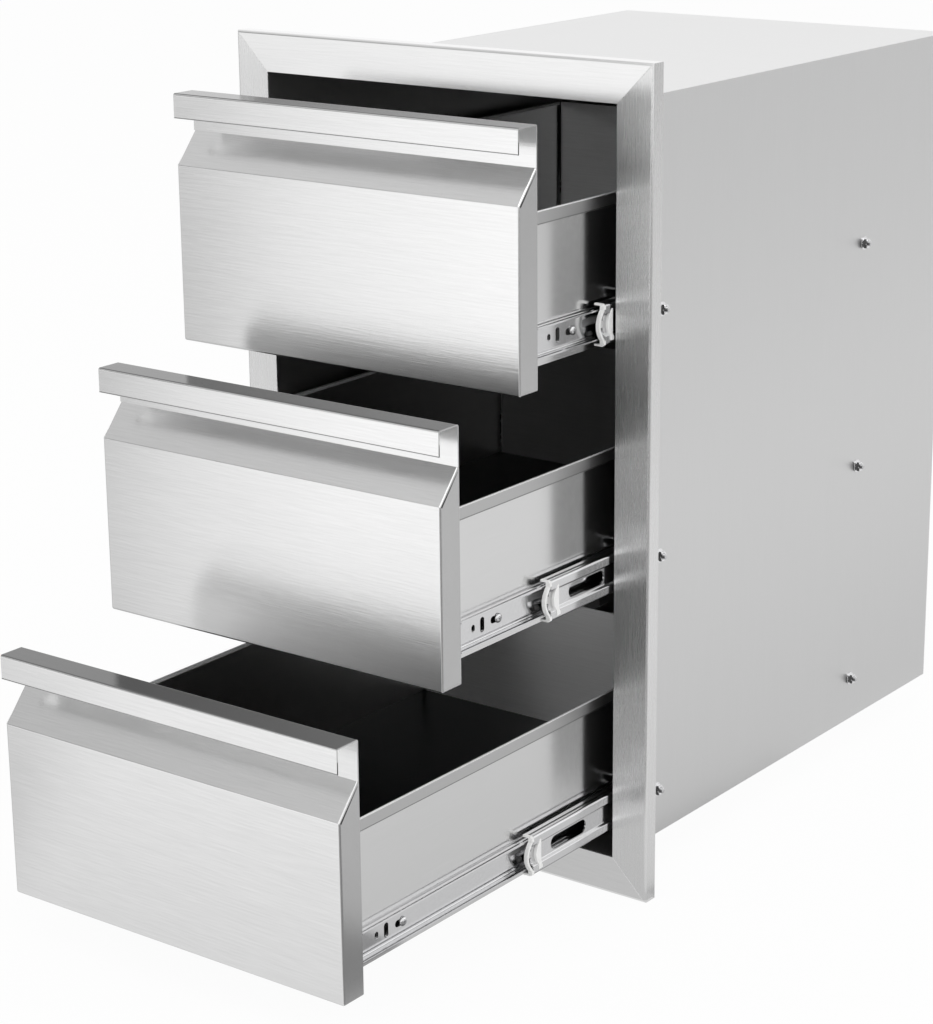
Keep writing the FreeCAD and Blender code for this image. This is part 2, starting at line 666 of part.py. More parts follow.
def drawer_box(drawer):
    """Flat panels of the drawer box, hemmed sides, and the screws that hold the front."""
    skin = "dims.box_sheet"
    inside = f"({BOX_HALF} - {skin})"
    across = (f"-{inside}", inside)
    front = f"({BOX_FRONT} - {drawer.drawer_out})"
    back = f"({BOX_BACK} - {drawer.drawer_out})"
    foot = f"({drawer.foot} + dims.box_lift)"
    rim = f"({foot} + dims.box_height)"
    prefix = f"{drawer.name}_box"
    floor_y = (f"{front} + {skin}", f"{back} - {skin}")
    floor = block(f"{prefix}_bottom", across, floor_y, (foot, f"{foot} + {skin}"))
    keep(f"{prefix}_bottom", floor)
    keep(f"{prefix}_back", block(f"{prefix}_back", across, (f"{back} - {skin}", back), (foot, rim)))
    plate = block(f"{prefix}_front_plate", across, (front, f"{front} + {skin}"), (foot, rim))
    spots = front_screw_places(drawer)
    holes = [rod(f"{prefix}_front_hole", (0, 1, 0), SCREW_HOLE, skin, (x, front, z)) for x, z in spots]
    keep(f"{prefix}_front", cut(f"{prefix}_front", plate, holes))
    for side, sign in (("left", -1), ("right", 1)):
        label = f"{prefix}_{side}"
        low, high = sorted((0, sign))
        wall_x = (f"{sign} * {inside} + {low} * {skin}", f"{sign} * {inside} + {high} * {skin}")
        hem_x = (f"{sign} * {BOX_HALF} + {low} * {skin}", f"{sign} * {BOX_HALF} + {high} * {skin}")
        wall = block(f"{label}_wall", wall_x, (front, back), (foot, rim))
        hem = block(f"{label}_hem", hem_x, (front, back), (f"{rim} - dims.hem_height", rim))
        rail_start = f"{RAIL_FRONT} - {drawer.drawer_out}"
        holes = [
            rod(f"{label}_hole", (1, 0, 0), SCREW_HOLE, skin, (wall_x[0], y, drawer.axis))
            for y in screw_places(rail_start)
        ]
        keep(label, cut(label, joined(f"{label}_blank", [wall, hem]), holes))
    along = (0, 1, 0)
    seat = f"{front} + {skin}"
    tail = f"{front} - dims.front_sheet - dims.screw_tail"
    shank_length = f"dims.screw_tail + dims.front_sheet + {skin} + dims.head_height"
    screws = []
    for x, z in spots:
        shank = rod("front_screw_shank", along, "dims.screw_diameter / 2", shank_length, (x, tail, z))
        head = rod("front_screw_head", along, "dims.head_diameter / 2", "dims.head_height", (x, seat, z))
        screws.append(joined("front_screw", [shank, head]))
    keep(f"{drawer.name}_front_screws", group(f"{drawer.name}_front_screws", screws))


def check():
    """Stop if any object of the document failed or any sub-part has no sound shape."""
    for item in doc.Objects:
        if "Invalid" in item.State or "Error" in item.State:
            raise RuntimeError(f"{item.Label} failed: {item.State}")
    for label, item in nodes.items():
        if item.Shape.isNull() or not item.Shape.isValid() or not item.Shape.Solids:
            raise RuntimeError(f"{label} has no sound shape")


def main():
    drawers = [describe_drawer(level, name) for level, name in enumerate(DRAWER_NAMES)]
    trim_frame()
    cabinet(drawers)
    runner_bolts(drawers)
    cabinet_rails(drawers)
    for drawer in drawers:
        intermediate_rails(drawer)
        runner_clips(drawer)
        drawer_rails(drawer)
        bearings(drawer)
        drawer_front(drawer)
        drawer_box(drawer)
    doc.recompute()
    check()
    os.makedirs("parts", exist_ok=True)
    for label, item in nodes.items():
        solids = item.Shape.Solids
        shape = solids[0] if len(solids) == 1 else Part.makeCompound(solids)
        shape.exportStep(f"parts/{label}.step")
    print(len(nodes), "nodes,", sum(len(item.Shape.Solids) for item in nodes.values()), "solids")


main()
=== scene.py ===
import math

import bmesh
import bpy
from mathutils import Matrix, Vector


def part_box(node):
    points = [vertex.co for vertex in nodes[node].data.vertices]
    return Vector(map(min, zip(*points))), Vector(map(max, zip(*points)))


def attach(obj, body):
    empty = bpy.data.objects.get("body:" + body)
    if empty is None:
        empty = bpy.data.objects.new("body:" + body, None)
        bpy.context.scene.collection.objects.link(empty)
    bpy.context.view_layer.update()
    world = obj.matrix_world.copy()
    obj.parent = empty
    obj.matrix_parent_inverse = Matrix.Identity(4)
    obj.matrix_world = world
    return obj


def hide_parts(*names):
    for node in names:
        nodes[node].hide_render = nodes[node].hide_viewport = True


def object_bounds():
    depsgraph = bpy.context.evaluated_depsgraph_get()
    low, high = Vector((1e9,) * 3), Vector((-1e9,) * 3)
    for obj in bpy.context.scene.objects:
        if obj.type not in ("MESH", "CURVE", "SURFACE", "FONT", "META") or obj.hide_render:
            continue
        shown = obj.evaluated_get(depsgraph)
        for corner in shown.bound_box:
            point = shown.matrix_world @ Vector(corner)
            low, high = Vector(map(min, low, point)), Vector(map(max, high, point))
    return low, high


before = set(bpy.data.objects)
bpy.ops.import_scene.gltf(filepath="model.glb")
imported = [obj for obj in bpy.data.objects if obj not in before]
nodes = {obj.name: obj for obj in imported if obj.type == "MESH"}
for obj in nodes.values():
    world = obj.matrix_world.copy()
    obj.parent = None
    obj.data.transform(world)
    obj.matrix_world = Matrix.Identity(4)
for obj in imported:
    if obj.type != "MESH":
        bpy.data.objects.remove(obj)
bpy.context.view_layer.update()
scene = bpy.context.scene

DRAWERS = ("bottom", "middle", "top")
MM = 0.001
UP, DOWN = (0, 0, 1), (0, 0, -1)
LEFT, RIGHT = (-1, 0, 0), (1, 0, 0)
FRONT, BACK = (0, -1, 0), (0, 1, 0)

# Camera fitted to the photograph: its angles, its place in metres and its lens for a 933 x 1024 image
IMAGE_HEIGHT = 1024
SENSOR = 36.0
VIEW_AZIMUTH = math.radians(37.135)
VIEW_ELEVATION = math.radians(16.696)
VIEW_ROLL = math.radians(-0.596)
VIEW_PLACE = Vector((1.116, -1.454, 0.510))
FOCAL_PIXELS = 2675.7

# Floor outline in metres
FLOOR_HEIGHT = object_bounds()[0].z
FLOOR_REACH = 60.0
FLOOR_FRONT = -7.0
FLOOR_LEFT = -6.0
FLOOR_LEFT_BEND = 1.5
FLOOR_LEFT_BACK = 50.0

# What the floor shows to reflections: (place, share) stops over X / Y and over the distance in front
# These paint light and shade onto the floor as reflections see it, darker near the unit and brighter than
# white by the gain
DISTANCE_SCALE = -0.5
FLOOR_TURN_FALL = ((0.3, 1.0), (0.6, 0.99), (0.79, 0.85), (0.965, 0.67), (1.0, 0.65))
FLOOR_NEAR_FALL = ((0.15, 0.62), (0.25, 0.70), (0.46, 0.88), (0.9, 1.0))
FLOOR_GAIN = 1.13
FAR_LEFT_LOSS = ((0.87, 0.0), (0.917, 0.15), (0.95, 0.34))
FAR_WEIGHT = ((0.45, 0.0), (0.6, 1.0))
NEAR_LEFT_LOSS = ((0.52, 0.0), (0.62, 0.08), (0.7, 0.18), (0.78, 0.15), (0.84, 0.0))
NEAR_WEIGHT = ((0.25, 1.0), (0.33, 0.0))
FLOOR_GLOW = 0.95
PAPER_GREYS = (0.92, 0.94)

# Studio surroundings: (height, grey) stops from 0, straight down, to 1, straight up; a light part by X / Y
SKY_FRONT = ((0.0, 0.95), (0.53, 0.95), (0.59, 0.30), (0.67, 0.25), (0.78, 0.51), (0.88, 0.66), (0.96, 0.1))
SKY_BACK = ((0.0, 1.0), (0.56, 1.0), (0.61, 0.88), (0.68, 0.84), (0.85, 0.8), (0.9, 0.7), (0.96, 0.1))
SKY_LIGHT_SHARE = ((0.70, 0.8), (0.92, 0.0))
SKY_LIGHT = (0.95, 0.95, 0.95, 1.0)
SKY_SEAM = 0.25
WHITE = (1.0, 1.0, 1.0, 1.0)

# Reflector cards just above the floor, in metres, with (place, grey) stops along X
CARD_HEIGHT = FLOOR_HEIGHT + 0.002
CARD_INNER = 0.19
CARD_OUTER = 3.0
CARD_FRONT = -4.0
CARD_SPLIT = -0.165
CARD_BACK = 7.0
# The under card is a painted shadow of the drawers on the floor, which only reflections show
UNDER_LEFT = -0.17
UNDER_FRONT = -0.30
UNDER_BACK = 0.0
SIDE_GREYS = ((0.0, 0.66), (0.18, 0.82), (0.45, 0.68), (1.0, 0.62))
CAMERA_SIDE_GREYS = ((0.0, 0.32), (1.0, 0.32))
UNDER_SHADOW_GREYS = ((0.0, 0.49), (1.0, 0.55))

# Softbox, in metres and watts
LAMP_PLACE = Vector((0.5, -0.1, 2.8))
LAMP_TARGET = Vector((0.2, 0.0, 0.0))
LAMP_SIZE = 3.6
LAMP_POWER = 36

# Noise in the materials: cells per metre, its roughness, and the stretch of its values that is used
STREAK_LONG, STREAK_FINE = 35.0, 1100.0
BROAD_LONG, BROAD_FINE = 6.0, 60.0
STREAK_SHARE, BROAD_SHARE = 0.8, 0.2
MOTTLE = (700.0, 700.0, 700.0)
SKIN = (1500.0, 1500.0, 1500.0)
FIBRE = (40.0, 40.0, 40.0)
NOISE_ROUGHNESS = 0.6
NOISE_LOW, NOISE_HIGH = 0.3, 0.7
RELIEF_DEPTH = 0.0002
FACING = 0.7
ACROSS_BRUSH = 0.25

# Shares of a material's colour and roughness that its noise goes between, and strengths of its relief
STEEL_GLOSS = (0.85, 1.15)
ZINC_SHADES = (0.96, 1.03)
ZINC_GLOSS = (0.85, 1.2)
ZINC_RELIEF = 0.05
PLASTIC_SHADES = (0.96, 1.0)
PLASTIC_GLOSS = (0.9, 1.15)
PLASTIC_RELIEF = 0.04

# Rounded edges
WELD_GAP = 0.00001
EASE_ANGLE = math.radians(40)
SHARP_ANGLE = math.radians(35)
CAD_EASE = 0.2 * MM
SHEET_EASE = 0.15 * MM
PANEL_EASE = 0.1 * MM
CLIP_EASE = 0.25 * MM

# Sizes below are in millimetres; depths are taken inwards from the inner face of the cabinet's right side
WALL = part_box("cabinet_rails")[1].x / MM
SHEET = 1.0
ARC_STEPS = 12
BEND_STEPS = 5
SAME_POINT = 0.01
ROUND_SIDES = 48
SMALL_SIDES = 32
CORE = 0.01

# Rails: ball grooves, flanges, bands and openings, with distances back from the front end
GROOVE_HALF = 1.0
GROOVE_DEPTH = 0.5
GROOVE_BEND = 0.5
MIDDLE_FLANGE = 10.0
MIDDLE_GROOVE = 6.1
BAND_DEPTH = 2.2
BAND_BEND = 1.8
BAND_FOOT = 7.6
SUNK_DEPTH = 4.2
SUNK_TOP = 6.2
SUNK_BEND = 0.9
INNER_FLANGE = 6.3
INNER_GROOVE = 8.1
INNER_GROOVE_BEND = 0.4
INNER_WEB = 12.7
INNER_BEND = 1.9
MIDDLE_CUT = (WALL - 7, WALL - 3)
INNER_CUT = (WALL - 14, WALL - 10)
SLOT_COUNT = 3
SLOT_START = 35
SLOT_STEP = 140
SLOT_LENGTH = 32
SLOT_RADIUS = 5.0
HOLE_PLACE = 19.5
HOLE_HALF = 0.7
HOLE_RADIUS = 1.8
KEY_PLACE = 29.3
KEY_HALF = 3.0
KEY_RADIUS = 2.2
SCREW_SLOT = 5.2
SCREW_SLOT_RADIUS = 2.4
RAIL_SCREWS = (46.0, 334.0)

# Pan-headed screws: (distance from the seat, radius) profile and cross recess
SCREW_SEAT = WALL - 11.7
PAN_SCREW = (
    (-1.9, CORE), (-1.9, 1.6), (-1.5, 1.95), (0.0, 1.95), (0.0, 3.1), (0.5, 3.3), (1.1, 3.1), (1.6, 2.5),
    (1.9, 1.6), (2.0, CORE),
)
CROSS_REACH = 1.6
CROSS_HALF = 0.4
CROSS_FLOOR = 0.6
CROSS_TOP = 3.0

# Clips: outlines in (distance back from the nose, height above the rail's axis)
# The cap's outline is in (depth, height above the rail's edge)
CLIP_NOSE = 7.0
NOSE_BOW = 5.2
NOSE_HALF = 11
NOSE_SHEET = 1.8
NOSE_DEPTHS = (5.2, 2.1)
CAP = ((9.8, -1.2), (9.8, 0.3), (3.4, 0.3), (2.0, -1.2))
CAP_FRONT, CAP_BACK = 5.0, 7.4
EAR_FRONT = 4.6
EAR_FOOT = 10.4
EAR_FRONT_DROP, EAR_BACK_DROP = 1.0, 0.6
EAR_DEPTHS = (5.2, 1.7)
TONGUE = ((1.6, 2.4), (21, 2.4), (22, 1.4), (22, -1.4), (21, -2.4), (1.6, -2.4))
TONGUE_DEPTHS = (6.0, 5.2)
RIB_PLACE = 9.8
RIB_BOW = 5.0
RIB_HALF = 10
RIB_BACK = 15.6
RIB_DEPTHS = (4.2, 1.7)
FOOT = ((13.0, -11.4), (17.0, -11.4), (17.0, -9.2), (15.4, -7.2), (13.0, -8.4))
FOOT_DEPTHS = (4.2, 1.5)

# Drawer boxes: slit and bead beside the back panels, hem and rim of the side walls
BACK_SLIT = 2.0
BEAD_WIDTH = 0.9
BEAD_HEIGHT = 0.3
WALL_SHEET = 0.9 * SHEET
HEM_BEND = 0.95
HEM_EDGE = 8.3
HEM_EDGE_LEAN = 0.37
HEM_FOOT = 9.0
HEM_FOOT_LEAN = 0.4
RIM_REACH = 2.0
RIM_BAND = 2.6
RIM_SLOPE = 0.3
RIM_FLAT = 0.6
HEM_SPARE = 0.2
FACE_SPARE = 0.05
# Material indices of the side walls: hem, rim with painted highlight, hem's edge with painted shadow, inside
# with painted shade, and rim bands of painted shade and of painted highlight
HEM, RIM, EDGE, INSIDE, RIM_SHADE_BAND, RIM_HIGHLIGHT_BAND = range(1, 7)

# Folded fronts: heights from the top, seams, and lip outlines in (distance back, height above its foot)
WEB_HEIGHT = 27.5
BEVEL_HEIGHT = 21.8
LIP_HEIGHT = 17.0
SEAM_FOOT_BACK = 2.3
SEAM_FOOT_DROP = 0.6
SEAM_HEAD_BACK = 19.1
SEAM_HEAD_DROP = 3.2
SEAM_HALF = 0.6
SEAM_HEAD_EDGES = (0.1, 0.4)
SEAM_SINK = 0.3
SEAM_PROUD = 0.05
LIP_SLIT = ((0.1, 0.4), (1.0, 0.4), (1.0, 8.0), (0.3, 8.0))
LIP_EDGE = ((-0.04, 0.7), (-0.04, 0.1), (0.2, -0.04), (0.8, -0.04), (1.04, 0.1), (1.04, 0.7))
BEHIND_LIP = 10 * MM

# Fasteners of the outer rails: (distance from the seat, radius) profiles
WASHER_HEIGHT = 0.8
WASHER_RADIUS = 5.0
WASHER = ((0.0, 2.2), (0.0, 4.9), (0.15, 5.0), (0.6, 5.0), (WASHER_HEIGHT, 4.8), (WASHER_HEIGHT, 2.2))
NUT_HEIGHT = 3.2
NUT_FLATS = 7
NUT = (
    (0.0, 2.1), (0.0, 3.4), (0.5, 4.2), (NUT_HEIGHT - 0.6, 4.2), (NUT_HEIGHT, 3.3), (NUT_HEIGHT, 2.5),
    (NUT_HEIGHT - 0.4, 2.1),
)
BOLT_HEAD = ((-2.2, CORE), (-2.2, 2.2), (-1.7, 3.2), (-0.8, 3.8), (0.0, 3.8), (0.0, 2.0))
BOLT_TAIL = ((1.8, 1.6), (2.0, 1.3), (2.0, CORE))
THREAD_PITCH = 0.7
THREAD_RADIUS = 2.0
THREAD_ROOT = 1.68
THREAD_TURNS = 3


def grey(value):
    """A neutral colour."""
    return (value, value, value)


def tinted(colour, factor):
    """A colour made darker or lighter."""
    return tuple(channel * factor for channel in colour)


def add(tree, kind, inputs=None, **settings):
    """A shader node with its settings, and its inputs given as values or as outputs of other nodes."""
    item = tree.nodes.new(kind)
    for name, value in settings.items():
        setattr(item, name, value)
    for name, value in (inputs or {}).items():
        socket = item.inputs[name]
        if isinstance(value, bpy.types.NodeSocket):
            tree.links.new(value, socket)
        else:
            socket.default_value = value
    return item


def math_node(tree, operation, *values):
    """Output of one Math node on values or sockets."""
    return add(tree, "ShaderNodeMath", dict(enumerate(values)), operation=operation).outputs[0]


def axes(tree, vector):
    """The X, Y and Z outputs of a vector."""
    return add(tree, "ShaderNodeSeparateXYZ", {"Vector": vector}).outputs


def spread(tree, share, low, high):
    """Output that goes from one limit to the other as a share goes from 0 to 1."""
    return add(tree, "ShaderNodeMapRange", {"Value": share, "To Min": low, "To Max": high}).outputs["Result"]


def blend(tree, share, first, second, kind="MIX"):
    """Colour output that goes from one colour to the other as a share goes from 0 to 1."""
    inputs = {"Fac": share, "Color1": first, "Color2": second}
    return add(tree, "ShaderNodeMixRGB", inputs, blend_type=kind).outputs["Color"]


def ramp(tree, value, stops):
    """Colour ramp over a value, from (place, shade) stops; a shade is a number for a grey, or a colour."""
    item = add(tree, "ShaderNodeValToRGB", {"Fac": value})
    band = item.color_ramp
    while len(band.elements) < len(stops):
        band.elements.new(0.5)
    for element, (place, shade) in zip(band.elements, stops):
        element.position = place
        colour = grey(shade) if isinstance(shade, (int, float)) else shade
        element.color = (*colour, 1.0)
    return item.outputs["Color"]


def new_tree(name):
    """An empty material and its node tree."""
    material = bpy.data.materials.new(name)
    material.use_nodes = True
    material.node_tree.nodes.clear()
    return material, material.node_tree


def noise(tree, where, cells, detail=3.0):
    """Noise over object space, with its own number of cells per metre along each axis."""
    scaled = add(tree, "ShaderNodeMapping", {"Vector": where, "Scale": cells}).outputs["Vector"]
    inputs = {"Vector": scaled, "Scale": 1.0, "Detail": detail, "Roughness": NOISE_ROUGHNESS}
    return add(tree, "ShaderNodeTexNoise", inputs).outputs["Fac"]


def speckled(tree, pattern, colour, low, high):
    """A colour that a noise pattern varies between two shares of it."""
    return ramp(tree, pattern, ((NOISE_LOW, tinted(colour, low)), (NOISE_HIGH, tinted(colour, high))))


def glossed(tree, pattern, roughness, shares):
    """A roughness that a noise pattern varies between two shares of it."""
    return spread(tree, pattern, roughness * shares[0], roughness * shares[1])


def bumped(tree, height, strength, depth=RELIEF_DEPTH, under=None):
    """Normal of a surface with a relief, on top of another relief if there is one."""
    inputs = {"Height": height, "Strength": strength, "Distance": depth}
    if under is not None:
        inputs["Normal"] = under
    return add(tree, "ShaderNodeBump", inputs).outputs["Normal"]


def towards(tree, normal, direction):
    """How far a surface looks along a direction of the object, from -1 to 1."""
    inputs = {0: normal, 1: direction}
    return add(tree, "ShaderNodeVectorMath", inputs, operation="DOT_PRODUCT").outputs["Value"]


def surfaced(tree, inputs):
    """Close a material with one Principled shader."""
    shader = add(tree, "ShaderNodeBsdfPrincipled", inputs)
    add(tree, "ShaderNodeOutputMaterial", {"Surface": shader.outputs["BSDF"]})


def steel(name, colour, roughness, brush, grain=0.03, relief=0.03, gloss_spread=0.0, looks=(), lean=0.0):
    """Stainless sheet: streaks along the brush axis in colour, roughness and relief.

    Each rule in looks is (direction, colour, roughness) for the faces that look that way; most paint shade
    by facing.
    A fourth value is the object's Y where the rule starts. Lean is the slope of upright faces, positive
    where they look up.
    """
    material, tree = new_tree(name)
    where = add(tree, "ShaderNodeTexCoord").outputs
    fine_cells = tuple(STREAK_LONG if axis == brush else STREAK_FINE for axis in "XYZ")
    broad_cells = tuple(BROAD_LONG if axis == brush else BROAD_FINE for axis in "XYZ")
    streaks = noise(tree, where["Object"], fine_cells)
    fine = math_node(tree, "MULTIPLY", streaks, STREAK_SHARE)
    broad = math_node(tree, "MULTIPLY", noise(tree, where["Object"], broad_cells, 2.0), BROAD_SHARE)
    pattern = math_node(tree, "ADD", fine, broad)
    shade = speckled(tree, pattern, colour, 1 - grain, 1 + grain)
    rough = glossed(tree, pattern, roughness, STEEL_GLOSS)
    for direction, other, gloss, *start in looks:
        mask = math_node(tree, "GREATER_THAN", towards(tree, where["Normal"], direction), FACING)
        if start:
            beyond = math_node(tree, "GREATER_THAN", axes(tree, where["Object"])["Y"], start[0])
            mask = math_node(tree, "MULTIPLY", mask, beyond)
        shade = blend(tree, mask, shade, speckled(tree, pattern, other, 1 - grain, 1 + grain))
        rough = spread(tree, mask, rough, gloss)
    slope = None
    if lean:
        rise = axes(tree, where["Object"])["Z"]
        slope = bumped(tree, math_node(tree, "MULTIPLY", rise, -lean), 1.0, 1.0)
    inputs = {"Base Color": shade, "Roughness": rough, "Normal": bumped(tree, streaks, relief, under=slope)}
    inputs.update({"Metallic": 1.0, "Anisotropic": gloss_spread})
    if gloss_spread:
        along = {axis: 1.0 if axis == brush else 0.0 for axis in "XYZ"}
        inputs["Tangent"] = add(tree, "ShaderNodeCombineXYZ", along).outputs["Vector"]
        inputs["Anisotropic Rotation"] = ACROSS_BRUSH
    surfaced(tree, inputs)
    return material


def zinc(name, colour, roughness, light_shading=((0.0, 1.0), (1.0, 1.0)), lit=UP):
    """Zinc-plated metal with a faint mottled sheen, painted darker on faces that look away from its lit
    side.

    The painted shade is a list of (place, share) stops from 0, away from the lit side, to 1, towards it.
    """
    material, tree = new_tree(name)
    where = add(tree, "ShaderNodeTexCoord").outputs
    mottle = noise(tree, where["Object"], MOTTLE, 4.0)
    facing = towards(tree, where["Normal"], lit)
    light_facing = add(tree, "ShaderNodeMapRange", {"Value": facing, "From Min": -1.0}).outputs["Result"]
    sheen = speckled(tree, mottle, colour, *ZINC_SHADES)
    surfaced(tree, {
        "Base Color": blend(tree, 1.0, sheen, ramp(tree, light_facing, light_shading), "MULTIPLY"),
        "Roughness": glossed(tree, mottle, roughness, ZINC_GLOSS),
        "Normal": bumped(tree, mottle, ZINC_RELIEF),
        "Metallic": 1.0,
    })
    return material


def plastic(name, colour, roughness):
    """Moulded plastic, or a matte band of painted shade or painted highlight, with a fine skin."""
    material, tree = new_tree(name)
    where = add(tree, "ShaderNodeTexCoord").outputs["Object"]
    skin = noise(tree, where, SKIN)
    surfaced(tree, {
        "Base Color": speckled(tree, skin, colour, *PLASTIC_SHADES),
        "Roughness": glossed(tree, skin, roughness, PLASTIC_GLOSS),
        "Normal": bumped(tree, skin, PLASTIC_RELIEF),
    })
    return material


def paint(node, material):
    """Give a CAD node one material in every slot."""
    for slot in nodes[node].material_slots:
        slot.material = material


def ease_edges(item, width):
    """Weld a mesh and round its sheet edges a little."""
    weld = item.modifiers.new("weld", "WELD")
    weld.merge_threshold = WELD_GAP
    bevel = item.modifiers.new("ease", "BEVEL")
    bevel.width = width
    bevel.segments = 2
    bevel.limit_method = "ANGLE"
    bevel.angle_limit = EASE_ANGLE
    normals = item.modifiers.new("normals", "WEIGHTED_NORMAL")
    normals.keep_sharp = True


def bent_path(corners):
    """Points along straight runs with rounded corners; a corner is (across, up, radius)."""
    path = []
    for index, (across, up, radius) in enumerate(corners):
        here = Vector((across, up))
        if radius == 0:
            path.append(here)
            continue
        back = (Vector(corners[index - 1][:2]) - here).normalized()
        ahead = (Vector(corners[index + 1][:2]) - here).normalized()
        half = back.angle(ahead) / 2
        centre = here + (back + ahead).normalized() * (radius / math.sin(half))
        start = here + back * (radius / math.tan(half)) - centre
        end = here + ahead * (radius / math.tan(half)) - centre
        path += [centre + start.slerp(end, step / BEND_STEPS) * radius for step in range(BEND_STEPS + 1)]
    return [
        point for index, point in enumerate(path)
        if index == 0 or (point - path[index - 1]).length > SAME_POINT
    ]


def strip_outline(path, thickness):
    """Closed outline of a bent strip: along its path, and back along the path moved to its left."""
    moved = []
    for index, point in enumerate(path):
        runs = []
        if index > 0:
            runs.append((point - path[index - 1]).normalized())
        if index < len(path) - 1:
            runs.append((path[index + 1] - point).normalized())
        lefts = [Vector((-run.y, run.x)) for run in runs]
        left = sum(lefts, Vector((0, 0))).normalized()
        moved.append(point + left * (thickness / left.dot(lefts[0])))
    return path + moved[::-1]


def slot_outline(first, last, height, radius, upright=False):
    """Outline in (Y, Z) of a slot with round ends about two centres, or of one turned upright."""
    points = []
    for centre, turn in ((last, -0.5), (first, 0.5)):
        for step in range(ARC_STEPS + 1):
            angle = (turn + step / ARC_STEPS) * math.pi
            points.append((centre + radius * math.cos(angle), radius * math.sin(angle)))
    if upright:
        middle = (first + last) / 2
        return [(middle - rise, height + along - middle) for along, rise in points]
    return [(along, height + rise) for along, rise in points]


def cross_outline(y, z):
    """Outline in (Y, Z) of a cross recess about a point."""
    corner = ((CROSS_REACH, CROSS_HALF), (CROSS_HALF, CROSS_HALF), (CROSS_HALF, CROSS_REACH))
    points = []
    for a, b in ((1, 0), (0, 1), (-1, 0), (0, -1)):
        points += [(y + p * a - q * b, z + p * b + q * a) for p, q in corner]
    return points


def bow(start, reach, half, axis):
    """Points in (Y, Z) of a bow from its top to its foot, with its ends further back than its middle."""
    return [(start + reach * (rise / half) ** 2, axis + rise) for rise in range(half, -half - 1, -1)]


def prism(form, outline, low, high, axis):
    """Add a closed prism: an outline in (Y, Z) drawn out along X, or one in (X, Z) drawn out along Y."""
    ends = []
    for reach in (low, high):
        corners = [(reach, a, b) if axis == "X" else (a, reach, b) for a, b in outline]
        ends.append([form.verts.new(corner) for corner in corners])
    faces = [form.faces.new(ends[0]), form.faces.new(ends[1][::-1])]
    for index in range(len(outline)):
        after = (index + 1) % len(outline)
        faces.append(form.faces.new((ends[0][index], ends[1][index], ends[1][after], ends[0][after])))
    bmesh.ops.recalc_face_normals(form, faces=faces)


def turned(form, profile, y, z, flats=None, sides=ROUND_SIDES):
    """Add a ring turned about an X axis from a closed (x, radius) profile, cut to a hexagon with flats."""
    rings = []
    for x, radius in profile:
        ring = []
        for step in range(sides):
            angle = 2 * math.pi * step / sides
            reach = radius
            if flats:
                reach = min(radius, flats / 2 / math.cos(angle % (math.pi / 3) - math.pi / 6))
            ring.append(form.verts.new((x, y + reach * math.cos(angle), z + reach * math.sin(angle))))
        rings.append(ring)
    faces = []
    for index, ring in enumerate(rings):
        other = rings[(index + 1) % len(rings)]
        for step in range(sides):
            after = (step + 1) % sides
            faces.append(form.faces.new((ring[step], ring[after], other[after], other[step])))
    bmesh.ops.recalc_face_normals(form, faces=faces)


def both_sides(form):
    """Add the mirror image of a form on the other side of the unit."""
    geometry = bmesh.ops.duplicate(form, geom=form.verts[:] + form.edges[:] + form.faces[:])["geom"]
    for vert in geometry:
        if isinstance(vert, bmesh.types.BMVert):
            vert.co.x = -vert.co.x
    bmesh.ops.reverse_faces(form, faces=[face for face in geometry if isinstance(face, bmesh.types.BMFace)])


def drilled(form, tools):
    """A form with the closed forms of another taken out of it."""
    items = []
    for source in (form, tools):
        mesh = bpy.data.meshes.new("drilling")
        source.to_mesh(mesh)
        source.free()
        items.append(bpy.data.objects.new("drilling", mesh))
        scene.collection.objects.link(items[-1])
    cut = items[0].modifiers.new("holes", "BOOLEAN")
    cut.object = items[1]
    ready = items[0].evaluated_get(bpy.context.evaluated_depsgraph_get())
    result = bmesh.new()
    result.from_mesh(ready.to_mesh())
    ready.to_mesh_clear()
    for item in items:
        mesh = item.data
        bpy.data.objects.remove(item)
        bpy.data.meshes.remove(mesh)
    return result


def finished(name, form, material, body, replaced=(), ease=0.0):
    """Turn a form in millimetres into a piece that rides on a body and stands for CAD nodes."""
    bmesh.ops.scale(form, vec=(MM, MM, MM), verts=form.verts)
    mesh = bpy.data.meshes.new(name)
    form.to_mesh(mesh)
    form.free()
    mesh.shade_smooth()
    mesh.set_sharp_from_angle(angle=SHARP_ANGLE)
    mesh.materials.append(material)
    item = bpy.data.objects.new(name, mesh)
    scene.collection.objects.link(item)
    if ease:
        ease_edges(item, ease)
    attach(item, body)
    if replaced:
        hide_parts(*replaced)
    return item


def span(node):
    """Lowest and highest corners of a CAD node, in millimetres."""
    return [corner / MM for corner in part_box(node)]


def rail_place(node):
    """Front end, height of the axis and half height of a drawer's rails."""
    low, high = span(node)
    return low.y, (low.z + high.z) / 2, (high.z - low.z) / 2


STEEL = grey(0.84)
BRIGHT = grey(0.92)
SATIN = grey(0.76)
PLATED = (0.95, 0.95, 0.96)
FRONT_ROUGHNESS = 0.18
DULL_BACK = (grey(0.92), 0.5)
# Painted shade: darker greys for the middle front's web back, the fronts' ends, the handle's top and the
# cabinet's inside
BACK_SHADE = (grey(0.5), 0.6)
END_SHADE = (grey(0.57), 0.22)
HANDLE_TOP_SHADE = (grey(0.20), 0.1)
CABINET_INSIDE_SHADE = (grey(0.5), 0.4)

